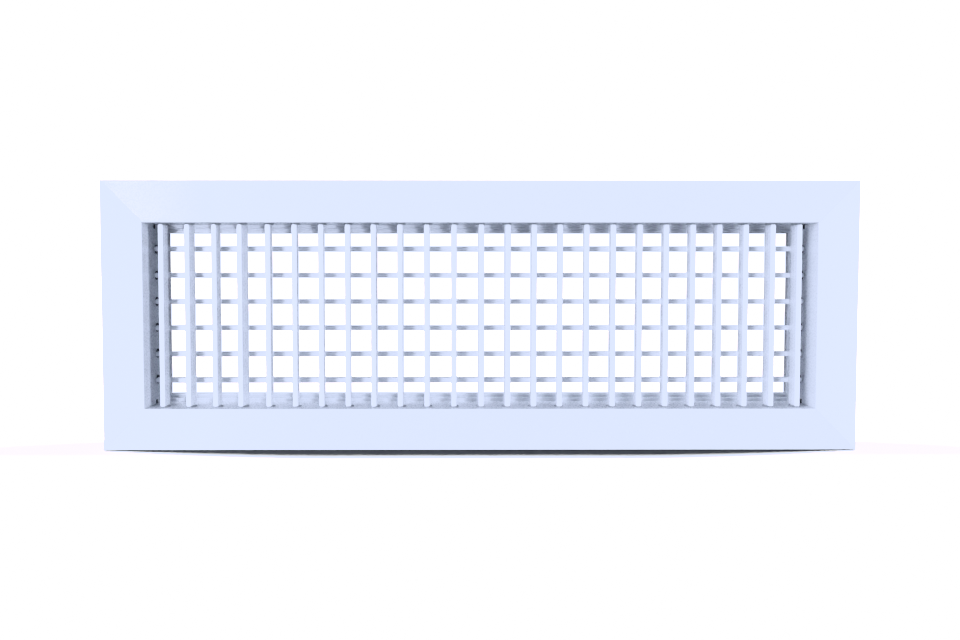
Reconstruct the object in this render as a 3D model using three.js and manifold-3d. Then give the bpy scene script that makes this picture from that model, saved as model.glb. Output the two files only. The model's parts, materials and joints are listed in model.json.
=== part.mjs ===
// Louvred supply-air grille with two banks of adjustable blades (double deflection).
//
// Millimetres, +Z up.  The origin is the centre of the wall opening, in the plane of the wall.
// The room is on the -Y side, the duct is on the +Y side, and +X is the long way.
//
// Four mitred frame members share one section: a sloping border, a throat wall and a stepped
// rear lip.  Upright blades turn on pins in the top and bottom members, and level blades
// behind them turn in bushes in the side members.

import * as THREE from 'three';
import { mergeVertices } from 'three/addons/utils/BufferGeometryUtils.js';
import Module from 'manifold-3d';

const wasm = await Module();
wasm.setup();

// ---------------------------------------------------------------- driving dimensions
const OVERALL_WIDTH = 544;
const OVERALL_HEIGHT = 194;
const BORDER = 30;                 // width of the border, outer edge to throat
const FRONT_Y = -7;                // border at the throat edge, in front of the wall plane
const BORDER_FALL = 2;             // the border slopes back this much towards its outer edge
const BACK_Y = 45;                 // rear end of the neck
const WALL = 1.5;                  // extrusion wall
const FOOT = 2;                    // outer return that rests on the wall
const LIP_Y = 35.5;                // first step of the rear lip
const LIP_STEP_Y = 3;              // distance back to the second step
const LIP_STEPS = [2.7, 5.9];      // how far each step stands into the throat
const GAP = 0.3;                   // clearance between separate pieces

const FRONT_BLADES = 25;
const FRONT_PITCH = 19.2;
const REAR_BLADES = 6;
const REAR_PITCH = 19.5;
const CHORD = 17.2;
const THICKNESS = 3.8;
const FRONT_PIVOT_Y = 7.6;
const REAR_PIVOT_Y = 26;
const BLADE_END_GAP = 1.2;         // blade end to throat wall
const PIN_DIAMETER = 3.2;
const PIN_REACH = 5.2;             // pin beyond the blade end
const PIVOT_HOLE = 5.6;

const BUSH_COLLAR = 6.6;
const BUSH_COLLAR_THICK = 0.6;
const BUSH_SLEEVE = 5.0;
const BUSH_BORE = 3.8;
const BUSH_TAIL = 1.5;             // sleeve beyond the outside of the wall

const KEY_LEG = 60;
const KEY_Y = [-3.6, -1.7];
const KEY_CHANNEL = [9.2, 22.8];   // between the two border ribs, from the throat plane
const KEY_SIDE_GAP = 0.4;
const KEY_HOLE = 4;
const KEY_HOLES_AT = [32, 50];      // from the border's outer corner
const RIB = 1.2;
const RIB_BACK_Y = -0.3;
const RIB_HOOK = 1.4;
const RIB_HOOK_THICK = 1;

const CLIP_CHANNEL_Y = [2.0, 13.2];   // outside of the throat, between two hooked ribs
const CLIP_CHANNEL_TOP = 4.2;         // height of those ribs from the throat plane
const CLIP_HOOK = 0.9;
const CLIP_WIDTH = 12;
const CLIP_THICK = 0.8;
const CLIP_X = 8.5 * FRONT_PITCH;

const CORNER_SLOT = 3.2;           // square assembly slot in the side walls, at each corner
const CLEAT_LEG = 14;              // neck cleat: angle plate outside each throat corner
const CLEAT_THICK = 1.2;
const CLEAT_DEPTH = 13;
const ROUND = 10;                  // sides of the small round parts

// Blades left a few degrees off straight by hand: blade number, degrees about +Z.
const SET_ANGLES = new Map([
  [1, -1], [2, -4], [3, -2], [4, -9], [9, -4], [10, -4], [11, -3],
  [13, 5], [14, 5], [15, 3], [24, 2], [25, 2],
]);

// ---------------------------------------------------------------- derived
const THROAT_X = OVERALL_WIDTH / 2 - BORDER;
const THROAT_Z = OVERALL_HEIGHT / 2 - BORDER;
const HALF_PI = Math.PI / 2;

// ---------------------------------------------------------------- materials
const paint = (color, roughness, metalness = 0) =>
  new THREE.MeshStandardMaterial({ color, roughness, metalness });
const FRAME_WHITE = paint(0xe3eafa, 0.35);
const BLADE_WHITE = paint(0xdde6f8, 0.35);
const NYLON = paint(0x4a4d52, 0.6);
const ZINC = paint(0xb4b8bc, 0.4, 0.9);
const SPRING = paint(0x8d9197, 0.35, 1);
const BLACK_STEEL = paint(0x222428, 0.5, 0.6);

// ---------------------------------------------------------------- solids
function solidOf(geometry) {
  geometry.deleteAttribute('normal');
  geometry.deleteAttribute('uv');
  const merged = mergeVertices(geometry, 1e-4);
  return new wasm.Manifold(new wasm.Mesh({
    numProp: 3,
    vertProperties: new Float32Array(merged.attributes.position.array),
    triVerts: new Uint32Array(merged.index.array),
  }));
}

function geometryOf(solid) {
  const mesh = solid.getMesh();
  const geometry = new THREE.BufferGeometry();
  geometry.setAttribute('position', new THREE.BufferAttribute(mesh.vertProperties, 3));
  geometry.setIndex(new THREE.BufferAttribute(mesh.triVerts, 1));
  geometry.computeVertexNormals();
  return geometry;
}

function cut(geometry, cutters) {
  return geometryOf(cutters.reduce((solid, c) => solid.subtract(solidOf(c)), solidOf(geometry)));
}

function join(geometry, additions) {
  return geometryOf(additions.reduce((solid, a) => solid.add(solidOf(a)), solidOf(geometry)));
}

function polygon(points) {
  return new THREE.Shape(points.map(([x, y]) => new THREE.Vector2(x, y)));
}

function rod(diameter, length) {
  return new THREE.CylinderGeometry(diameter / 2, diameter / 2, length, ROUND).rotateX(HALF_PI);
}

// ---------------------------------------------------------------- frame members
// Section of the extrusion: X is the distance outwards from the throat plane, Y is depth.
function memberSection() {
  const faceY = (u) => FRONT_Y + BORDER_FALL * u / BORDER;
  const backOfFace = (u) => faceY(u) + WALL;
  const innerRound = 1;
  const outerRound = 2;
  const [near, far] = KEY_CHANNEL;
  const hookFrontY = RIB_BACK_Y - RIB_HOOK_THICK;
  const outerRib = [
    [far + RIB, backOfFace(far + RIB)],
    [far + RIB, RIB_BACK_Y],
    [far - RIB_HOOK, RIB_BACK_Y],
    [far - RIB_HOOK, hookFrontY],
    [far, hookFrontY],
    [far, backOfFace(far)],
  ];
  const innerRib = [
    [near, backOfFace(near)],
    [near, hookFrontY],
    [near + RIB_HOOK, hookFrontY],
    [near + RIB_HOOK, RIB_BACK_Y],
    [near - RIB, RIB_BACK_Y],
    [near - RIB, backOfFace(near - RIB)],
  ];
  const [y0, y1] = CLIP_CHANNEL_Y;
  const clipRibs = [
    [WALL, y0 - RIB],
    [CLIP_CHANNEL_TOP, y0 - RIB],
    [CLIP_CHANNEL_TOP, y0 + CLIP_HOOK],
    [CLIP_CHANNEL_TOP - 1, y0 + CLIP_HOOK],
    [CLIP_CHANNEL_TOP - 1, y0],
    [WALL, y0],
    [WALL, y1],
    [CLIP_CHANNEL_TOP - 1, y1],
    [CLIP_CHANNEL_TOP - 1, y1 - CLIP_HOOK],
    [CLIP_CHANNEL_TOP, y1 - CLIP_HOOK],
    [CLIP_CHANNEL_TOP, y1 + RIB],
    [WALL, y1 + RIB],
  ];
  const [step1, step2] = LIP_STEPS;
  const secondY = LIP_Y + LIP_STEP_Y;
  const lip = [
    [WALL, LIP_Y + WALL],
    [WALL - step1, LIP_Y + WALL],
    [WALL - step1, secondY + WALL],
    [WALL - step2, secondY + WALL],
    [WALL - step2, BACK_Y],
    [-step2, BACK_Y],
    [-step2, secondY],
    [-step1, secondY],
    [-step1, LIP_Y],
    [0, LIP_Y],
  ];

  const shape = new THREE.Shape();
  shape.moveTo(0, FRONT_Y + innerRound);
  shape.absarc(innerRound, FRONT_Y + innerRound, innerRound, Math.PI, 1.5 * Math.PI, false);
  shape.lineTo(BORDER - outerRound, faceY(BORDER));
  shape.absarc(BORDER - outerRound, faceY(BORDER) + outerRound, outerRound, -HALF_PI, 0, false);
  const rest = [
    [BORDER, 0],
    [BORDER - FOOT, 0],
    [BORDER - FOOT, backOfFace(BORDER - FOOT)],
    ...outerRib,
    ...innerRib,
    [WALL, backOfFace(WALL)],
    ...clipRibs,
    ...lip,
  ];
  rest.forEach(([u, y]) => shape.lineTo(u, y));
  return shape;
}

// A member along X with its outside towards +Z: each end is pulled to the 45 degree mitre.
function member(halfThroat, cutters) {
  const body = new THREE.ExtrudeGeometry(memberSection(), {
    depth: 1, steps: 1, bevelEnabled: false, curveSegments: 3,
  });
  const position = body.attributes.position;
  const mitrePull = GAP / 2 * Math.SQRT2;
  for (let i = 0; i < position.count; i += 1) {
    const outwards = position.getX(i);
    const side = position.getZ(i) < 0.5 ? 1 : -1;
    position.setXYZ(i, side * (halfThroat + outwards - mitrePull), position.getY(i), outwards);
  }
  return cut(body, cutters);
}

function pivotHoles(count, pitch, y) {
  return Array.from({ length: count }, (_, i) =>
    rod(PIVOT_HOLE, 4 * WALL).translate((i - (count - 1) / 2) * pitch, y, WALL / 2));
}

function cornerSlots(halfThroat) {
  return [-1, 1].map((side) =>
    new THREE.BoxGeometry(2 * CORNER_SLOT, CORNER_SLOT, 4 * WALL)
      .translate(side * halfThroat, REAR_PIVOT_Y, WALL / 2));
}

const LONG_MEMBER = member(THROAT_X, pivotHoles(FRONT_BLADES, FRONT_PITCH, FRONT_PIVOT_Y));
const SHORT_MEMBER = member(THROAT_Z, [
  ...pivotHoles(REAR_BLADES, REAR_PITCH, REAR_PIVOT_Y),
  ...cornerSlots(THROAT_Z),
]);

// ---------------------------------------------------------------- blades
// Streamlined blade along Z about its pivot line: blunt nose towards -Y, thin tail.
function bladeGeometry(length) {
  const half = THICKNESS / 2;
  const nose = -CHORD / 2;
  const tail = CHORD / 2;
  const side = [
    [half - 0.6, nose],
    [half - 0.15, nose + 0.45],
    [half, nose + 1.2],
    [half, nose + 4],
    [half * 0.72, nose + 10.5],
    [0.55, tail - 0.5],
    [0.2, tail],
  ];
  const outline = [...side, ...side.map(([x, y]) => [-x, y]).reverse()];
  const body = new THREE.ExtrudeGeometry(polygon(outline), { depth: length, bevelEnabled: false });
  body.translate(0, 0, -length / 2);
  const buried = 3;
  const pinLength = PIN_REACH + buried;
  const pins = [-1, 1].map((end) =>
    rod(PIN_DIAMETER, pinLength).translate(0, 0, end * (length / 2 + PIN_REACH - pinLength / 2)));
  return join(body, pins);
}

const FRONT_BLADE = bladeGeometry(2 * (THROAT_Z - BLADE_END_GAP));
const REAR_BLADE = bladeGeometry(2 * (THROAT_X - BLADE_END_GAP));

// ---------------------------------------------------------------- small parts
// Flanged bush on the X axis: the collar is on the -X side of the wall face at X = 0.
function bushGeometry() {
  const profile = [
    [BUSH_BORE / 2, -GAP - BUSH_COLLAR_THICK],
    [BUSH_COLLAR / 2, -GAP - BUSH_COLLAR_THICK],
    [BUSH_COLLAR / 2, -GAP],
    [BUSH_SLEEVE / 2, -GAP],
    [BUSH_SLEEVE / 2, WALL + BUSH_TAIL],
    [BUSH_BORE / 2, WALL + BUSH_TAIL],
    [BUSH_BORE / 2, -GAP - BUSH_COLLAR_THICK],
  ].map(([r, x]) => new THREE.Vector2(r, x));
  return new THREE.LatheGeometry(profile, ROUND).rotateZ(-HALF_PI);
}

// L-shaped outline about a corner, its legs running towards -X and -Y between two edges.
function angleShape(outer, inner, leg) {
  return polygon([
    [outer, outer], [-leg, outer], [-leg, inner],
    [inner, inner], [inner, -leg], [outer, -leg],
  ]);
}

// Plate in the XZ plane, from one depth to another.
function plate(shape, [fromY, toY]) {
  return new THREE.ExtrudeGeometry(shape, {
    depth: toY - fromY, bevelEnabled: false, curveSegments: 5,
  }).rotateX(HALF_PI).translate(0, toY, 0);
}

// Flat L plate that slides into the border channels; its corner is the border's outer corner.
function cornerKeyGeometry() {
  const outer = -(BORDER - KEY_CHANNEL[1] + KEY_SIDE_GAP);
  const inner = -(BORDER - KEY_CHANNEL[0] - KEY_SIDE_GAP);
  const shape = angleShape(outer, inner, KEY_LEG);
  const middle = (outer + inner) / 2;
  for (const along of KEY_HOLES_AT) {
    for (const [x, z] of [[-along, middle], [middle, -along]]) {
      const hole = new THREE.Path();
      hole.absarc(x, z, KEY_HOLE / 2, 0, 2 * Math.PI, true);
      shape.holes.push(hole);
    }
  }
  return plate(shape, KEY_Y);
}

// Angle round the outside of a throat corner, behind its slots.
function neckCleatGeometry() {
  const inner = WALL + GAP;
  const shape = angleShape(inner + CLEAT_THICK, inner, CLEAT_LEG);
  return plate(shape, [REAR_PIVOT_Y - CLEAT_DEPTH / 2, REAR_PIVOT_Y + CLEAT_DEPTH / 2]);
}

// Bowed leaf that slides in the clip channel and grips the edge of the wall opening.
function springClipGeometry() {
  const foot = WALL + GAP;
  const frontEnd = CLIP_CHANNEL_Y[0] + GAP;
  const inside = [
    [foot, frontEnd],
    [foot, frontEnd + 6.3],
    [foot + 2.8, frontEnd + 9.1],
    [foot + 6.4, frontEnd + 19.7],
    [foot + 7.1, frontEnd + 22.5],
    [foot + 6.4, frontEnd + 25.3],
    [foot + 2.4, frontEnd + 31],
  ];
  const outside = inside.map(([u, y]) => [u + CLIP_THICK, y]).reverse();
  return new THREE.ExtrudeGeometry(polygon([...inside, ...outside]), {
    depth: CLIP_WIDTH, bevelEnabled: false,
  }).rotateY(-HALF_PI).translate(CLIP_WIDTH / 2, 0, 0);
}

// ---------------------------------------------------------------- assembly
const grille = new THREE.Group();

function place(parent, name, geometry, material, [x, y, z], [rx, ry, rz] = [0, 0, 0]) {
  const mesh = new THREE.Mesh(geometry, material);
  mesh.name = name;
  mesh.position.set(x, y, z);
  mesh.rotation.set(rx, ry, rz);
  parent.add(mesh);
}

place(grille, 'frame_top', LONG_MEMBER, FRAME_WHITE, [0, 0, THROAT_Z]);
place(grille, 'frame_right', SHORT_MEMBER, FRAME_WHITE, [THROAT_X, 0, 0], [0, HALF_PI, 0]);
place(grille, 'frame_bottom', LONG_MEMBER, FRAME_WHITE, [0, 0, -THROAT_Z], [0, Math.PI, 0]);
place(grille, 'frame_left', SHORT_MEMBER, FRAME_WHITE, [-THROAT_X, 0, 0], [0, -HALF_PI, 0]);

const CORNER_KEY = cornerKeyGeometry();
const NECK_CLEAT = neckCleatGeometry();
[['top_right', 1, 1], ['bottom_right', 1, -1], ['bottom_left', -1, -1], ['top_left', -1, 1]]
  .forEach(([corner, sx, sz], quarter) => {
    place(grille, `corner_key_${corner}`, CORNER_KEY, ZINC,
      [sx * OVERALL_WIDTH / 2, 0, sz * OVERALL_HEIGHT / 2], [0, quarter * HALF_PI, 0]);
    place(grille, `neck_cleat_${corner}`, NECK_CLEAT, BLACK_STEEL,
      [sx * THROAT_X, 0, sz * THROAT_Z], [0, quarter * HALF_PI, 0]);
  });

for (let i = 1; i <= FRONT_BLADES; i += 1) {
  const angle = THREE.MathUtils.degToRad(SET_ANGLES.get(i) ?? 0);
  const x = (i - (FRONT_BLADES + 1) / 2) * FRONT_PITCH;
  place(grille, `front_blade_${String(i).padStart(2, '0')}`, FRONT_BLADE, BLADE_WHITE,
    [x, FRONT_PIVOT_Y, 0], [0, 0, angle]);
}

const BUSH = bushGeometry();
for (let i = 1; i <= REAR_BLADES; i += 1) {
  const z = ((REAR_BLADES + 1) / 2 - i) * REAR_PITCH;
  place(grille, `rear_blade_${i}`, REAR_BLADE, BLADE_WHITE, [0, REAR_PIVOT_Y, z], [0, HALF_PI, 0]);
  place(grille, `rear_bush_right_${i}`, BUSH, NYLON, [THROAT_X, REAR_PIVOT_Y, z]);
  place(grille, `rear_bush_left_${i}`, BUSH, NYLON, [-THROAT_X, REAR_PIVOT_Y, z], [0, Math.PI, 0]);
}

const SPRING_CLIP = springClipGeometry();
[['top_left', -1, 1], ['top_right', 1, 1], ['bottom_left', -1, -1], ['bottom_right', 1, -1]]
  .forEach(([corner, sx, sz]) => {
    place(grille, `spring_clip_${corner}`, SPRING_CLIP, SPRING,
      [sx * CLIP_X, 0, sz * THROAT_Z], [0, sz > 0 ? 0 : Math.PI, 0]);
  });

export default grille;
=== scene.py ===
"""Visual model of a louvred supply-air grille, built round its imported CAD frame.

Metres, in the frame's axes: +X along the grille, +Y into the duct, +Z up.
The room and the camera are on the -Y side.
"""

import json
import math

import bmesh
import bpy
from mathutils import Matrix, Vector

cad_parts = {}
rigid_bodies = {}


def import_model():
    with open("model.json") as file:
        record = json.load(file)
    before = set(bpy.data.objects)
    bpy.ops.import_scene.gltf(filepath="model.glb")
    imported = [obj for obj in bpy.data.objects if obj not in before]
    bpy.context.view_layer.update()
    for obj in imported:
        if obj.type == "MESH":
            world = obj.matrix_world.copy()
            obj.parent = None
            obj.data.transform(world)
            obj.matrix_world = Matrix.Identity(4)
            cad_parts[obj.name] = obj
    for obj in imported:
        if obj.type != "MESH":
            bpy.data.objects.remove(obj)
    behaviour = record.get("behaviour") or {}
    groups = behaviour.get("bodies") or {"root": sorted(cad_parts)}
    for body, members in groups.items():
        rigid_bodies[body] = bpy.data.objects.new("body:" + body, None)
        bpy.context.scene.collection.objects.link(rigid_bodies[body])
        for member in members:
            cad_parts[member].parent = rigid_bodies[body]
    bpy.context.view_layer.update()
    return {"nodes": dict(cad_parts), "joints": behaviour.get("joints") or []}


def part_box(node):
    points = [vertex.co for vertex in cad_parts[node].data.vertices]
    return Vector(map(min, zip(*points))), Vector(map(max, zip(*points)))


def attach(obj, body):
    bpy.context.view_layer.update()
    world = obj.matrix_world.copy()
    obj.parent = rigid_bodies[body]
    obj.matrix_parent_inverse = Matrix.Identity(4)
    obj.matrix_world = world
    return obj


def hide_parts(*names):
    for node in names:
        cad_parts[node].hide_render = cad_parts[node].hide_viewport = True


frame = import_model()

MM = 0.001
FRAME_BODY = "grille_frame"

# ------------------------------------------------------------------ sizes from the frame
_, OUTER_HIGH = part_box("frame_top")
HALF_HEIGHT = OUTER_HIGH[2]
HALF_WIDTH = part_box("frame_right")[1][0]
BACK_Y = OUTER_HIGH[1]
BORDER = 30 * MM
THROAT_X = HALF_WIDTH - BORDER
THROAT_Z = HALF_HEIGHT - BORDER

FRONT_BLADES = sorted(n for n in frame["nodes"] if n.startswith("front_blade_"))
REAR_BLADES = sorted(n for n in frame["nodes"] if n.startswith("rear_blade_"))
JOINTS = {j["child"]: j for j in frame["joints"]}
front_pivots = [JOINTS[n]["pos_m"] for n in FRONT_BLADES]
rear_pivots = [JOINTS[n]["pos_m"] for n in REAR_BLADES]
FRONT_PIVOT_Y = front_pivots[0][1]
REAR_PIVOT_Y = rear_pivots[0][1]

# ------------------------------------------------------------------ sizes of the design
FRONT_Y = -7 * MM              # the border's face at the throat edge
BORDER_FALL = 2 * MM           # slope of the border towards its outer edge
WALL = 1.5 * MM
FOOT = 2 * MM                  # width of the border's outer foot, which meets the wall
EXTRUSION_EDGE = 0.2 * MM      # rounding of the other corners of the section
LIP_Y = 35.5 * MM
LIP_STEP_Y = 3 * MM
LIP_STEPS = (2.7 * MM, 5.9 * MM)
LIP_EDGE = 0.6 * MM
COVE = 1.3 * MM                # hollow at the foot of the second step
COVE_DEPTH = 0.8 * MM
GROOVE = 0.22 * MM             # half width of the line along the first step
GROOVE_EDGE = 0.05 * MM
THROAT_EDGE = 0.7 * MM         # roundings of the border's inner and outer edges
OUTER_EDGE = 0.4 * MM
KEY_CHANNEL = (9.2 * MM, 22.8 * MM)     # from the throat plane outwards
RIB = 1.2 * MM
RIB_BACK_Y = -0.3 * MM
RIB_HOOK = 1.4 * MM
RIB_HOOK_THICK = 1 * MM
CLIP_CHANNEL_Y = (2 * MM, 13.2 * MM)
CLIP_CHANNEL_TOP = 4.2 * MM
CLIP_HOOK = 0.9 * MM
MITRE_FACE_GAP = 0.03 * MM     # half the joint where the border's faces meet
MITRE_THROAT_GAP = 0.42 * MM   # half the joint at the rear of the throat
MITRE_CHAMFER = 0.12 * MM
CHORD = 17.2 * MM
THICKNESS = 3.8 * MM
SEAM = 0.22 * MM               # depth of the lines along a blade's sides
FRONT_BLADE_END = 0.6 * MM     # roundings of the blades' ends
REAR_BLADE_END = 1.5 * MM
BLADE_END_GAP = 1.2 * MM
PIN_RADIUS = 1.6 * MM
PIVOT_HOLE_RADIUS = 2.8 * MM
CORNER_SLOT = 3.2 * MM         # height of the slots in the side walls, at each throat corner
SLOT_DEPTH = 4.5 * MM
SLOT_Y = REAR_PIVOT_Y - 2.5 * MM
SLOT_PLAY = 0.15 * MM
CUT_THROUGH = 8 * MM           # length of the cutters, more than any wall they go through
KEY_LEG = 60 * MM
KEY_PLAY = 0.4 * MM
KEY_HOLES = (32 * MM, 50 * MM)
KEY_HOLE_RADIUS = 2 * MM
CLEAT_LEG = 14 * MM
CLEAT_THICK = 1.2 * MM
NECK_GAP = 0.3 * MM            # between the neck's outside and what is fixed to it
PLATE_EDGE = 0.2 * MM
CLIP_THICK = 0.8 * MM
CLIP_BEND = 6 * MM             # radius of the clip's bends
CLIP_EDGE = 0.12 * MM
# the clip's inner side: (out from the neck, depth) in millimetres
CLIP_PATH = ((0, 0), (0, 6.3), (2.8, 9.1), (6.4, 19.7), (7.1, 22.5), (6.4, 25.3), (2.4, 31))

QUARTER = math.pi / 2


# ------------------------------------------------------------------ outlines
def rounded(points, radius, steps=3, radii=None):
    """A closed outline with each corner turned into an arc of the given radius."""
    outline = []
    count = len(points)
    for i, corner in enumerate(points):
        p = Vector(corner)
        before = Vector(points[i - 1]) - p
        after = Vector(points[(i + 1) % count]) - p
        r = (radii or {}).get(i, radius)
        angle = before.angle(after)
        reach = r / math.tan(angle / 2)
        reach = min(reach, 0.45 * before.length, 0.45 * after.length)
        r = reach * math.tan(angle / 2)
        if r < 1e-6 or angle > math.radians(176):
            outline.append(p)
            continue
        start = p + before.normalized() * reach
        end = p + after.normalized() * reach
        centre = p + (before.normalized() + after.normalized()).normalized() * (
            r / math.sin(angle / 2))
        a, b = start - centre, end - centre
        turn = a.angle_signed(b)
        for k in range(steps + 1):
            outline.append(centre + Matrix.Rotation(-turn * k / steps, 2) @ a)
    return outline


def inset(outline, distance):
    """The outline moved inwards (to its left, for a counter-clockwise outline)."""
    moved = []
    count = len(outline)
    for i, p in enumerate(outline):
        along = (outline[(i + 1) % count] - outline[i - 1]).normalized()
        moved.append(p + Vector((-along.y, along.x)) * distance)
    return moved


# ------------------------------------------------------------------ mesh helpers
def new_object(name, bm, sharp_angle=32):
    """Makes an object of the mesh under construction, with its normals facing out."""
    bmesh.ops.recalc_face_normals(bm, faces=bm.faces)
    mesh = bpy.data.meshes.new(name)
    bm.to_mesh(mesh)
    bm.free()
    return object_of(name, mesh, sharp_angle)


def object_of(name, mesh, sharp_angle=32):
    """An object shaded smooth, apart from edges sharper than the given angle in degrees."""
    mesh.shade_smooth()
    mesh.set_sharp_from_angle(angle=math.radians(sharp_angle))
    obj = bpy.data.objects.new(name, mesh)
    bpy.context.scene.collection.objects.link(obj)
    weighted = obj.modifiers.new("weighted normals", "WEIGHTED_NORMAL")
    weighted.keep_sharp = True
    weighted.weight = 100
    return obj


def loft(sections):
    """A closed solid through rings of points, with its two ends capped."""
    bm = bmesh.new()
    rings = [[bm.verts.new(p) for p in section] for section in sections]
    for ring, following in zip(rings, rings[1:]):
        for i in range(len(ring)):
            j = (i + 1) % len(ring)
            bm.faces.new((ring[i], ring[j], following[j], following[i]))
    bm.faces.new(rings[0][::-1])
    bm.faces.new(rings[-1])
    return bm


def lathe(profile, segments=40):
    """A closed solid of revolution about Z from (radius, z) points that close on themselves."""
    bm = bmesh.new()
    rings = []
    for k in range(segments):
        angle = 2 * math.pi * k / segments
        rings.append([bm.verts.new((r * math.cos(angle), r * math.sin(angle), z))
                      for r, z in profile])
    for k, ring in enumerate(rings):
        following = rings[(k + 1) % segments]
        for i in range(len(ring)):
            j = (i + 1) % len(ring)
            bm.faces.new((ring[i], following[i], following[j], ring[j]))
    bmesh.ops.remove_doubles(bm, verts=bm.verts, dist=1e-7)
    return bm


def cylinder(bm, radius, depth, matrix, segments=36):
    """Adds a closed cylinder along the matrix's Z."""
    bmesh.ops.create_cone(bm, cap_ends=True, segments=segments, radius1=radius, radius2=radius,
                          depth=depth, matrix=matrix)


def cut_with(obj, cutter_bm):
    """Cuts the cutter solids out of an object's mesh."""
    mesh = bpy.data.meshes.new("cutter")
    cutter_bm.to_mesh(mesh)
    cutter_bm.free()
    cutter = bpy.data.objects.new("cutter", mesh)
    bpy.context.scene.collection.objects.link(cutter)
    boolean = obj.modifiers.new("cut", "BOOLEAN")
    boolean.operation = "DIFFERENCE"
    boolean.solver = "EXACT"
    boolean.object = cutter
    weighted = obj.modifiers["weighted normals"]
    obj.modifiers.remove(weighted)
    graph = bpy.context.evaluated_depsgraph_get()
    cut = bpy.data.meshes.new_from_object(obj.evaluated_get(graph))
    name = obj.name
    old = obj.data
    bpy.data.objects.remove(cutter)
    bpy.data.objects.remove(obj)
    bpy.data.meshes.remove(old)
    bpy.data.meshes.remove(mesh)
    cut.name = name
    return object_of(name, cut)


# ------------------------------------------------------------------ materials
def noise(tree, coordinates, scale, detail=2.0, stretch=(1, 1, 1)):
    """Noise with the given number of cells per metre; a small stretch draws it out that way."""
    mapping = tree.nodes.new("ShaderNodeMapping")
    mapping.inputs["Scale"].default_value = stretch
    tree.links.new(coordinates, mapping.inputs["Vector"])
    texture = tree.nodes.new("ShaderNodeTexNoise")
    texture.inputs["Scale"].default_value = scale
    texture.inputs["Detail"].default_value = detail
    tree.links.new(mapping.outputs["Vector"], texture.inputs["Vector"])
    return texture.outputs["Fac"]


def ranged(tree, value, low, high):
    """The middle of a noise's range spread over low to high."""
    span = tree.nodes.new("ShaderNodeMapRange")
    span.inputs["From Min"].default_value = 0.3
    span.inputs["From Max"].default_value = 0.7
    span.inputs["To Min"].default_value = low
    span.inputs["To Max"].default_value = high
    tree.links.new(value, span.inputs["Value"])
    return span.outputs["Result"]


def tinted(tree, value, dark, light):
    """The same for colours."""
    ramp = tree.nodes.new("ShaderNodeValToRGB")
    ramp.color_ramp.elements[0].position = 0.3
    ramp.color_ramp.elements[1].position = 0.7
    ramp.color_ramp.elements[0].color = (*dark, 1)
    ramp.color_ramp.elements[1].color = (*light, 1)
    tree.links.new(value, ramp.inputs["Fac"])
    return ramp.outputs["Color"]


def bump(tree, shader, height, strength, distance, under=None):
    """Adds a bump to the shader, on top of the bump under it."""
    made = tree.nodes.new("ShaderNodeBump")
    made.inputs["Strength"].default_value = strength
    made.inputs["Distance"].default_value = distance
    tree.links.new(height, made.inputs["Height"])
    if under is not None:
        tree.links.new(under, made.inputs["Normal"])
    tree.links.new(made.outputs["Normal"], shader.inputs["Normal"])
    return made.outputs["Normal"]


def shader_material(name):
    material = bpy.data.materials.new(name)
    material.use_nodes = True
    tree = material.node_tree
    shader = tree.nodes["Principled BSDF"]
    coordinates = tree.nodes.new("ShaderNodeTexCoord").outputs["Object"]
    return material, tree, shader, coordinates


def powder_coat(name, colour, along):
    """Satin powder coat on an extrusion: fine orange peel, faint draw lines along the length."""
    material, tree, shader, coordinates = shader_material(name)
    mottle = noise(tree, coordinates, 55, 3)
    deep = tuple(0.975 * c for c in colour)
    tree.links.new(tinted(tree, mottle, deep, colour), shader.inputs["Base Color"])
    grain = noise(tree, coordinates, 900, 2)
    tree.links.new(ranged(tree, grain, 0.24, 0.32), shader.inputs["Roughness"])
    shader.inputs["Specular IOR Level"].default_value = 0.5
    shader.inputs["Coat Weight"].default_value = 0.3
    shader.inputs["Coat Roughness"].default_value = 0.12
    draw_lines = noise(tree, coordinates, 900, 1, [0.004 if a == along else 1 for a in "XYZ"])
    peel = noise(tree, coordinates, 520, 2)
    lines = bump(tree, shader, draw_lines, 0.015, 0.0002)
    bump(tree, shader, peel, 0.06, 0.0002, lines)
    return material


def moulded(name, colour, roughness):
    """Moulded nylon: very fine grain and slightly uneven gloss."""
    material, tree, shader, coordinates = shader_material(name)
    cloud = noise(tree, coordinates, 300, 3)
    deep = tuple(0.85 * c for c in colour)
    tree.links.new(tinted(tree, cloud, deep, colour), shader.inputs["Base Color"])
    tree.links.new(ranged(tree, cloud, roughness - 0.06, roughness + 0.06),
                   shader.inputs["Roughness"])
    bump(tree, shader, noise(tree, coordinates, 2600, 2), 0.15, 0.00005)
    return material


def plated(name, colour, roughness, metallic=1.0):
    """Pressed steel with a plated or blackened finish: cloudy tone and rolling marks."""
    material, tree, shader, coordinates = shader_material(name)
    cloud = noise(tree, coordinates, 90, 4)
    deep = tuple(0.72 * c for c in colour)
    tree.links.new(tinted(tree, cloud, deep, colour), shader.inputs["Base Color"])
    tree.links.new(ranged(tree, noise(tree, coordinates, 420, 3), roughness - 0.08,
                          roughness + 0.1), shader.inputs["Roughness"])
    shader.inputs["Metallic"].default_value = metallic
    rolling = noise(tree, coordinates, 1500, 2, (0.05, 1, 1))
    bump(tree, shader, rolling, 0.1, 0.00005)
    return material


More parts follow.
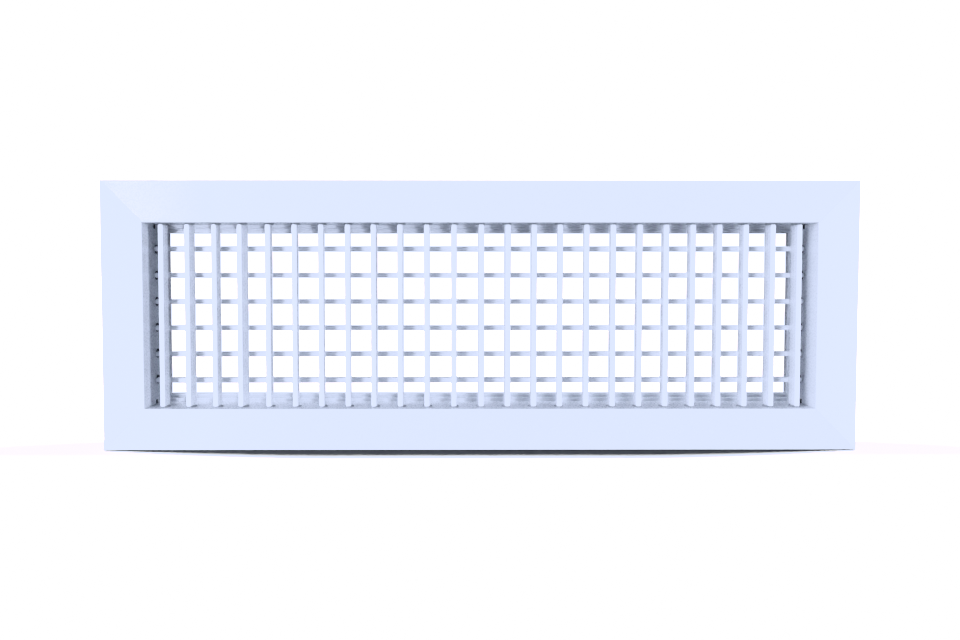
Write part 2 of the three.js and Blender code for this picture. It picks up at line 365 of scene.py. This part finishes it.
FRAME_WHITE = (0.835, 0.85, 0.88)
BLADE_WHITE = (0.825, 0.84, 0.87)
COAT_X = powder_coat("powder coat, long members", FRAME_WHITE, "X")
COAT_Z = powder_coat("powder coat, short members", FRAME_WHITE, "Z")
COAT_FRONT_BLADE = powder_coat("powder coat, front blades", BLADE_WHITE, "Z")
COAT_REAR_BLADE = powder_coat("powder coat, rear blades", BLADE_WHITE, "X")
# Grey nylon, made darker than the pins in part as painted shade: the front bushes stand for the
# dark shade round the blade feet.
FRONT_BUSH_GREY_AND_SHADE = moulded("grey nylon, partly painted shade", (0.33, 0.34, 0.36), 0.5)
# The rear bushes are darkened as painted shade: their colour stands for the shadowed gap round
# the rear blades' ends.
REAR_BUSH_PAINTED_SHADE = moulded("nylon darkened for painted shade", (0.11, 0.113, 0.12), 0.5)
PIN_NYLON = moulded("natural nylon", (0.62, 0.64, 0.66), 0.42)
KEY_ZINC = plated("zinc plate", (0.60, 0.62, 0.65), 0.34)
CLIP_STEEL = plated("spring steel", (0.36, 0.37, 0.40), 0.3)
# Black as painted shade: the cleats and the tabs that fill the corner slots are black so that the
# slots look as dark as shade.
CLEAT_BLACK_PAINTED_SHADE = plated("black steel, painted slot shade", (0.02, 0.021, 0.024), 0.45, 0.0)


def finish(obj, material, body, replaced=()):
    """Gives a piece its material, its body and the frame nodes that it replaces."""
    obj.data.materials.clear()
    obj.data.materials.append(material)
    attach(obj, body)
    if replaced:
        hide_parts(*replaced)
    return obj


# ------------------------------------------------------------------ frame members
def member_outline():
    """Section of the extrusion: points (distance out from the throat plane, depth), some with
    a third value, their own rounding."""
    def face(u):
        return FRONT_Y + BORDER_FALL * u / BORDER

    def back(u):
        return face(u) + WALL

    near, far = KEY_CHANNEL
    hook_front = RIB_BACK_Y - RIB_HOOK_THICK
    y0, y1 = CLIP_CHANNEL_Y
    top = CLIP_CHANNEL_TOP
    step1, step2 = LIP_STEPS
    second_y = LIP_Y + LIP_STEP_Y
    points = [
        (0, FRONT_Y, THROAT_EDGE), (BORDER, face(BORDER), OUTER_EDGE),
        (BORDER, 0), (BORDER - FOOT, 0), (BORDER - FOOT, back(BORDER - FOOT)),
        (far + RIB, back(far + RIB)), (far + RIB, RIB_BACK_Y), (far - RIB_HOOK, RIB_BACK_Y),
        (far - RIB_HOOK, hook_front), (far, hook_front), (far, back(far)),
        (near, back(near)), (near, hook_front), (near + RIB_HOOK, hook_front),
        (near + RIB_HOOK, RIB_BACK_Y), (near - RIB, RIB_BACK_Y), (near - RIB, back(near - RIB)),
        (WALL, back(WALL)), (WALL, y0 - RIB), (top, y0 - RIB), (top, y0 + CLIP_HOOK),
        (top - MM, y0 + CLIP_HOOK), (top - MM, y0), (WALL, y0), (WALL, y1), (top - MM, y1),
        (top - MM, y1 - CLIP_HOOK), (top, y1 - CLIP_HOOK), (top, y1 + RIB), (WALL, y1 + RIB),
        (WALL, LIP_Y + WALL), (WALL - step1, LIP_Y + WALL), (WALL - step1, second_y + WALL),
        (WALL - step2, second_y + WALL), (WALL - step2, BACK_Y), (-step2, BACK_Y),
        (-step2, second_y, LIP_EDGE),
        (-step1 - COVE, second_y), (-step1 - COVE, second_y + COVE_DEPTH),
        (-step1, second_y + COVE_DEPTH), (-step1, LIP_Y, LIP_EDGE),
        (-step1 / 2 - GROOVE, LIP_Y), (-step1 / 2, LIP_Y + 2 * GROOVE, GROOVE_EDGE),
        (-step1 / 2 + GROOVE, LIP_Y), (0, LIP_Y),
    ]
    radii = {i: p[2] for i, p in enumerate(points) if len(p) > 2}
    return rounded([p[:2] for p in points], EXTRUSION_EDGE, radii=radii)


def member(name, half_throat, turn, offset, material, cutters):
    """One mitred member, made along X with its outside up, then turned and moved into place.
    The mitre is tight across the border and opens with depth along the throat's wall."""
    outline = member_outline()
    smaller = inset(outline, MITRE_CHAMFER)

    def ring(points, sign, back_off):
        placed = []
        for u, y in points:
            down_throat = 0
            if 0 <= u <= WALL:
                down_throat = min(max((y - FRONT_Y) / (REAR_PIVOT_Y - FRONT_Y), 0), 1)
            gap = MITRE_FACE_GAP + (MITRE_THROAT_GAP - MITRE_FACE_GAP) * down_throat
            placed.append((sign * (half_throat + u - gap * math.sqrt(2) - back_off), y, u))
        return placed

    bm = loft([
        ring(smaller, -1, 0), ring(outline, -1, MITRE_CHAMFER),
        ring(outline, 1, MITRE_CHAMFER), ring(smaller, 1, 0),
    ])
    obj = new_object(name, bm)
    obj = cut_with(obj, cutters)
    obj.data.transform(Matrix.Translation(offset) @ Matrix.Rotation(turn, 4, "Y"))
    return finish(obj, material, FRAME_BODY, [name])


def pivot_cutters(places, y):
    bm = bmesh.new()
    for x in places:
        cylinder(bm, PIVOT_HOLE_RADIUS, CUT_THROUGH, Matrix.Translation((x, y, WALL / 2)))
    return bm


def long_cutters():
    return pivot_cutters([p[0] for p in front_pivots], FRONT_PIVOT_Y)


def short_cutters():
    bm = pivot_cutters([p[2] for p in rear_pivots], REAR_PIVOT_Y)
    for side in (-1, 1):
        at = Matrix.Translation((side * THROAT_Z, SLOT_Y, WALL / 2))
        size = Matrix.Diagonal((2 * CORNER_SLOT, SLOT_DEPTH, CUT_THROUGH, 1))
        bmesh.ops.create_cube(bm, size=1, matrix=at @ size)
    return bm


MEMBERS = (
    ("top", THROAT_X, 0, (0, 0, THROAT_Z), COAT_X, long_cutters),
    ("bottom", THROAT_X, 2, (0, 0, -THROAT_Z), COAT_X, long_cutters),
    ("right", THROAT_Z, 1, (THROAT_X, 0, 0), COAT_Z, short_cutters),
    ("left", THROAT_Z, -1, (-THROAT_X, 0, 0), COAT_Z, short_cutters),
)
for side, half_throat, quarters, place, material, cutters in MEMBERS:
    made = member(f"frame_{side}", half_throat, quarters * QUARTER, place, material, cutters())
    made.name = f"border_{side}"


# ------------------------------------------------------------------ blades
def blade_outline():
    """Streamlined section: blunt crowned nose towards -Y, stepped sides, thin tail."""
    half = THICKNESS / 2
    nose = -CHORD / 2
    tail = CHORD / 2
    side = [
        (half - 0.2 * MM, nose + 0.1 * MM),
        (half, nose + 0.9 * MM),
        (half, nose + 4.2 * MM),
        (half - SEAM, nose + 4.35 * MM),
        (half - SEAM, nose + 4.75 * MM),
        (half - 0.08 * MM, nose + 4.9 * MM),
        (half * 0.80, nose + 9.2 * MM),
        (half * 0.80 - SEAM, nose + 9.4 * MM),
        (half * 0.66, nose + 12.2 * MM),
        (0.45 * MM, tail - 0.1 * MM),
    ]
    crown = [(0, nose)]
    mirrored = [(-x, y) for x, y in reversed(side)]
    points = crown + side + mirrored
    count = len(points)
    tail_corner = len(side)
    radii = {0: 6 * MM, 1: 0.7 * MM, count - 1: 0.7 * MM,
             tail_corner: 0.3 * MM, tail_corner + 1: 0.3 * MM}
    return rounded(points, 0.12 * MM, 3, radii)


def blade_mesh(half_length, end_radius):
    """A blade about its pivot line, along Z, with the corners of its ends rounded off."""
    outline = blade_outline()
    steps = 5
    half_rings = []
    for k in range(steps + 1):
        angle = math.pi / 2 * k / steps
        in_from_end = end_radius * (1 - math.cos(angle))
        narrower = 1 - end_radius * (1 - math.sin(angle)) / (THICKNESS / 2)
        half_rings.append((half_length - in_from_end, narrower))
    rings = [(-z, narrower) for z, narrower in half_rings] + half_rings[::-1]
    return loft([[(x * narrower, y, z) for x, y in outline] for z, narrower in rings])


def set_angle(name):
    """How far a front blade is turned at rest: the middle of its joint's range."""
    low, high = JOINTS[name]["range_deg"]
    return -math.radians(low + high) / 2


# pin (metres) and bush (millimetres): points (radius, distance along)
PIN_OUTLINE = [(0, -4 * MM), (PIN_RADIUS, -4 * MM), (PIN_RADIUS, 4.7 * MM),
               (PIN_RADIUS - 0.5 * MM, 5.2 * MM), (0, 5.2 * MM)]
BUSH_OUTLINE = [(1.66, 0.9), (3.05, 0.9), (3.3, 0.75), (3.3, 0.35), (3.3, 0.12), (2.75, 0.02),
                (2.5, -0.1), (2.5, -2.4), (2.85, -2.7), (2.85, -2.95), (2.3, -3.3), (1.66, -3.3)]


def pin(name, place, body):
    """End pin along its own +Z, from inside the blade out through the frame."""
    obj = new_object(name, lathe(PIN_OUTLINE, 32))
    obj.data.transform(place)
    return finish(obj, PIN_NYLON, body)


def bush(name, place, material, replaced=()):
    """Snap-in bush along +Z: collar inside the throat, barbed sleeve through the wall."""
    outline = [(r * MM, z * MM) for r, z in BUSH_OUTLINE]
    obj = new_object(name, lathe(outline, 40))
    obj.data.transform(place)
    return finish(obj, material, FRAME_BODY, replaced)


FLIP = Matrix.Rotation(math.pi, 4, "X")
half_length = THROAT_Z - BLADE_END_GAP
for number, name in enumerate(FRONT_BLADES, 1):
    pivot = Matrix.Translation(JOINTS[name]["pos_m"])
    turned = pivot @ Matrix.Rotation(set_angle(name), 4, "Z")
    blade = new_object(f"upright_blade_{number:02d}", blade_mesh(half_length, FRONT_BLADE_END))
    blade.data.transform(turned)
    finish(blade, COAT_FRONT_BLADE, name, [name])
    for end, up in (("top", Matrix.Identity(4)), ("bottom", FLIP)):
        pin(f"front_pin_{end}_{number:02d}", pivot @ up @ Matrix.Translation((0, 0, half_length)),
            name)
        bush(f"front_bush_{end}_{number:02d}",
             pivot @ up @ Matrix.Translation((0, 0, THROAT_Z)) @ FLIP, FRONT_BUSH_GREY_AND_SHADE)

RIGHT = Matrix.Rotation(QUARTER, 4, "Y")
LEFT = Matrix.Rotation(-QUARTER, 4, "Y")
half_length = THROAT_X - BLADE_END_GAP
for number, name in enumerate(REAR_BLADES, 1):
    pivot = Matrix.Translation(JOINTS[name]["pos_m"])
    blade = new_object(f"level_blade_{number}", blade_mesh(half_length, REAR_BLADE_END))
    blade.data.transform(pivot @ RIGHT)
    finish(blade, COAT_REAR_BLADE, name, [name])
    for end, out in (("right", RIGHT), ("left", LEFT)):
        pin(f"rear_pin_{end}_{number}", pivot @ out @ Matrix.Translation((0, 0, half_length)),
            name)
        bush(f"rear_bushing_{end}_{number}",
             pivot @ out @ Matrix.Translation((0, 0, THROAT_X)) @ FLIP, REAR_BUSH_PAINTED_SHADE,
             [f"rear_bush_{end}_{number}"])


# ------------------------------------------------------------------ keys, cleats and clips
def bevelled_plate(name, outline, y_low, y_high):
    """A plate in the XZ plane with eased edges."""
    edge = PLATE_EDGE
    smaller = inset(outline, edge)
    bm = loft([
        [(x, y_low, z) for x, z in smaller],
        [(x, y_low + edge, z) for x, z in outline],
        [(x, y_high - edge, z) for x, z in outline],
        [(x, y_high, z) for x, z in smaller],
    ])
    return new_object(name, bm)


def angle_outline(outer, inner, leg, radius):
    return rounded([(outer, outer), (-leg, outer), (-leg, inner), (inner, inner),
                    (inner, -leg), (outer, -leg)], radius, 4)


def corner_key(name, turn, corner):
    low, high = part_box(name)
    outer = -(BORDER - KEY_CHANNEL[1] + KEY_PLAY)
    inner = -(BORDER - KEY_CHANNEL[0] - KEY_PLAY)
    outline = angle_outline(outer, inner, KEY_LEG, 1.2 * MM)
    obj = bevelled_plate(name.replace("key", "brace"), outline, low[1], high[1])
    holes = bmesh.new()
    middle = (outer + inner) / 2
    for along in KEY_HOLES:
        for x, z in ((-along, middle), (middle, -along)):
            cylinder(holes, KEY_HOLE_RADIUS, CUT_THROUGH,
                     Matrix.Translation((x, low[1], z)) @ Matrix.Rotation(QUARTER, 4, "X"))
    obj = cut_with(obj, holes)
    obj.data.transform(Matrix.Translation(corner) @ Matrix.Rotation(turn, 4, "Y"))
    return finish(obj, KEY_ZINC, FRAME_BODY, [name])


def neck_cleat(name, turn, corner):
    low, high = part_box(name)
    inner = WALL + NECK_GAP
    outline = angle_outline(inner + CLEAT_THICK, inner, CLEAT_LEG, 0.4 * MM)
    obj = bevelled_plate(name.replace("cleat", "angle"), outline, low[1], high[1])
    obj.data.transform(Matrix.Translation(corner) @ Matrix.Rotation(turn, 4, "Y"))
    return finish(obj, CLEAT_BLACK_PAINTED_SHADE, FRAME_BODY, [name])


def slot_tab(name, sx, sz):
    """The cleat's tab, which fills the slot to just short of the throat's face; it is black as
    painted shade, so that the slot reads dark.
    """
    near, far = THROAT_X + SLOT_PLAY, THROAT_X + WALL + NECK_GAP
    low, high = THROAT_Z - CORNER_SLOT + SLOT_PLAY, THROAT_Z - SLOT_PLAY
    centre = Matrix.Translation((sx * (near + far) / 2, SLOT_Y, sz * (low + high) / 2))
    bm = bmesh.new()
    bmesh.ops.create_cube(bm, size=1, matrix=centre @ Matrix.Diagonal(
        (far - near, SLOT_DEPTH - 2 * SLOT_PLAY, high - low, 1)))
    return finish(new_object(name, bm), CLEAT_BLACK_PAINTED_SHADE, FRAME_BODY)


CORNERS = (("top_right", 1, 1), ("bottom_right", 1, -1),
           ("bottom_left", -1, -1), ("top_left", -1, 1))
for quarter, (corner, sx, sz) in enumerate(CORNERS):
    corner_key(f"corner_key_{corner}", quarter * QUARTER, (sx * HALF_WIDTH, 0, sz * HALF_HEIGHT))
    neck_cleat(f"neck_cleat_{corner}", quarter * QUARTER, (sx * THROAT_X, 0, sz * THROAT_Z))
    slot_tab(f"slot_tab_{corner}", sx, sz)


def spring_clip(name, sx, sz):
    """Bowed leaf: a smooth strip through the clip's own bends."""
    low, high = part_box(name)
    centre_x = (low[0] + high[0]) / 2
    foot = WALL + NECK_GAP
    start = CLIP_CHANNEL_Y[0] + NECK_GAP
    inside = [(foot + u * MM, start + y * MM) for u, y in CLIP_PATH]
    outside = [(u + CLIP_THICK, y) for u, y in reversed(inside)]
    points = inside + outside
    tip = len(inside) - 1
    bends = {i: CLIP_BEND for i in range(1, len(points) - 1) if i not in (tip, tip + 1)}
    outline = rounded(points, 0.15 * MM, 6, bends)
    half = (high[0] - low[0]) / 2
    flat = half - CLIP_EDGE
    smaller = inset(outline, -CLIP_EDGE)
    bm = loft([
        [(-half, y, u) for u, y in smaller], [(-flat, y, u) for u, y in outline],
        [(flat, y, u) for u, y in outline], [(half, y, u) for u, y in smaller],
    ])
    obj = new_object(name.replace("clip", "leaf"), bm)
    turn = 0 if sz > 0 else math.pi
    obj.data.transform(Matrix.Translation((centre_x, 0, sz * THROAT_Z))
                       @ Matrix.Rotation(turn, 4, "Y"))
    return finish(obj, CLIP_STEEL, FRAME_BODY, [name])


for corner, sx, sz in CORNERS:
    spring_clip(f"spring_clip_{corner}", sx, sz)


# ------------------------------------------------------------------ studio
FLOOR_Z = -HALF_HEIGHT - 0.4 * MM
FLOOR_REACH = 30                 # metres, far past what the camera sees
FLOOR_GREY = (0.12, 0.12, 0.12)  # dark, so that little light bounces into the contact shadow
COOL = (0.751, 0.820, 1.0)
WHITE = (1, 1, 1)
SOFTBOX_DISTANCE = 1.6
SOFTBOXES = (                    # azimuth, elevation, (width, height) in metres, watts
    ("key light", -25, 1, (0.22, 1.3), 19),
    ("soft key", -43, 14, (0.9, 1.1), 18),
    ("fill light", 43, 6, (0.3, 1.2), 21),
    ("side light", -74, 15, (0.8, 1.1), 7),
)
AMBIENT = 0.05                   # strength of the surroundings, as the grille is lit by them
BACKDROP = 3.0                   # and as the camera sees them


def matte(name, colour):
    material = bpy.data.materials.new(name)
    material.use_nodes = True
    shader = material.node_tree.nodes["Principled BSDF"]
    shader.inputs["Base Color"].default_value = (*colour, 1)
    shader.inputs["Roughness"].default_value = 0.9
    shader.inputs["Specular IOR Level"].default_value = 0.1
    return material


def sheet(name, corners, material):
    """A flat piece of the set, not of the grille."""
    mesh = bpy.data.meshes.new(name)
    mesh.from_pydata(corners, [], [(0, 1, 2, 3)])
    obj = bpy.data.objects.new(name, mesh)
    obj.data.materials.append(material)
    bpy.context.scene.collection.objects.link(obj)
    return obj


grille = bpy.data.collections.new("lit by the softboxes")
for piece in bpy.context.scene.collection.objects:
    if piece.type == "MESH":
        grille.objects.link(piece)

floor_corners = [(x * FLOOR_REACH, y * FLOOR_REACH, FLOOR_Z)
                 for x, y in ((-1, -1), (1, -1), (1, 1), (-1, 1))]
floor = sheet("floor", floor_corners, matte("floor", FLOOR_GREY))
floor.visible_diffuse = False
floor.visible_glossy = False
floor.visible_transmission = False
floor.visible_shadow = False
floor_only = bpy.data.collections.new("lit by the floor lights")
floor_only.objects.link(floor)


def aimed(name, light, azimuth, elevation, distance, receivers):
    """Puts a light on a sphere round the grille, aimed at it. Azimuth 0 is straight in front,
    and positive to the right."""
    obj = bpy.data.objects.new(name, light)
    a, e = math.radians(azimuth), math.radians(elevation)
    place = Vector((math.sin(a) * math.cos(e), -math.cos(a) * math.cos(e), math.sin(e)))
    obj.location = place * distance
    obj.rotation_euler = (-place).to_track_quat("-Z", "Y").to_euler()
    obj.light_linking.receiver_collection = receivers
    bpy.context.scene.collection.objects.link(obj)
    return obj


def softbox(name, azimuth, elevation, size, watts):
    """Rectangular light that only the grille receives."""
    light = bpy.data.lights.new(name, "AREA")
    light.shape = "RECTANGLE"
    light.size, light.size_y = size
    light.energy = watts
    light.color = COOL
    return aimed(name, light, azimuth, elevation, SOFTBOX_DISTANCE, grille)


def panel(name, azimuth, elevation, spread, strength, receivers, colour=COOL):
    """Distant light with the given angular size in degrees."""
    light = bpy.data.lights.new(name, "SUN")
    light.angle = math.radians(spread)
    light.energy = strength
    light.color = colour
    return aimed(name, light, azimuth, elevation, 2, receivers)


for box in SOFTBOXES:
    softbox(*box)
panel("rear light", 180, 62, 60, 2.6, grille)
panel("low light", 0, -30, 70, 0.15, grille)
for end, azimuth in (("left", -101.5), ("right", 101.5)):
    panel(f"floor light {end}", azimuth, 52, 7.5, 64, floor_only, WHITE)

world = bpy.data.worlds.new("studio")
bpy.context.scene.world = world
world.use_nodes = True
surround = world.node_tree.nodes["Background"]
surround.inputs["Color"].default_value = (*COOL, 1)
surround.inputs["Strength"].default_value = AMBIENT
seen = world.node_tree.nodes.new("ShaderNodeBackground")
seen.inputs["Color"].default_value = (*WHITE, 1)
seen.inputs["Strength"].default_value = BACKDROP
rays = world.node_tree.nodes.new("ShaderNodeLightPath")
either = world.node_tree.nodes.new("ShaderNodeMixShader")
links = world.node_tree.links
links.new(rays.outputs["Is Camera Ray"], either.inputs["Fac"])
links.new(surround.outputs["Background"], either.inputs[1])
links.new(seen.outputs["Background"], either.inputs[2])
links.new(either.outputs["Shader"], world.node_tree.nodes["World Output"].inputs["Surface"])


# ------------------------------------------------------------------ film response
CURVE_TOP = 3.0                   # scene brightness that the curve ends at
CURVE_STEPS = 20
CURVE_SPACING = 1.6               # puts more of the steps in the dark tones
SHOULDER = 0.83                   # brightness that lit paint levels off at
TOE_SCALE, TOE_POWER = 0.447, 1.42
WHITE_FROM, WHITE_AT = 1.75, 2.2  # above the paint's range, up to clipped white
TINTS = (0.905, 1.0, 1.29)        # red, green and blue


def tone(x):
    """Soft toe and flat shoulder, and how far the tone is on its way to clipped white."""
    body = SHOULDER * (1 - math.exp(-(x / TOE_SCALE) ** TOE_POWER))
    clip = min(max((x - WHITE_FROM) / (WHITE_AT - WHITE_FROM), 0), 1)
    return body, clip


view = bpy.context.scene.view_settings
view.view_transform = "Standard"
view.use_curve_mapping = True
mapping = view.curve_mapping
mapping.white_level = (CURVE_TOP, CURVE_TOP, CURVE_TOP)
for curve, tint in zip(mapping.curves, TINTS):
    for step in range(1, CURVE_STEPS):
        x = CURVE_TOP * (step / CURVE_STEPS) ** CURVE_SPACING
        body, clip = tone(x / tint)
        curve.points.new(x / CURVE_TOP, min(tint * body * (1 - clip) + clip, 1))
mapping.update()

# ------------------------------------------------------------------ camera
CAMERA_PLACE = (-0.0218, -0.7057, 0.0313)
LOOKS_DOWN, LOOKS_RIGHT = 2.79, 0.33      # degrees
camera_data = bpy.data.cameras.new("camera")
camera_data.sensor_width = 36
camera_data.lens = 36.56
camera_data.shift_x = 0.0250
camera = bpy.data.objects.new("camera", camera_data)
camera.location = CAMERA_PLACE
camera.rotation_euler = (math.radians(90 - LOOKS_DOWN), 0, math.radians(-LOOKS_RIGHT))
bpy.context.scene.collection.objects.link(camera)
bpy.context.scene.camera = camera
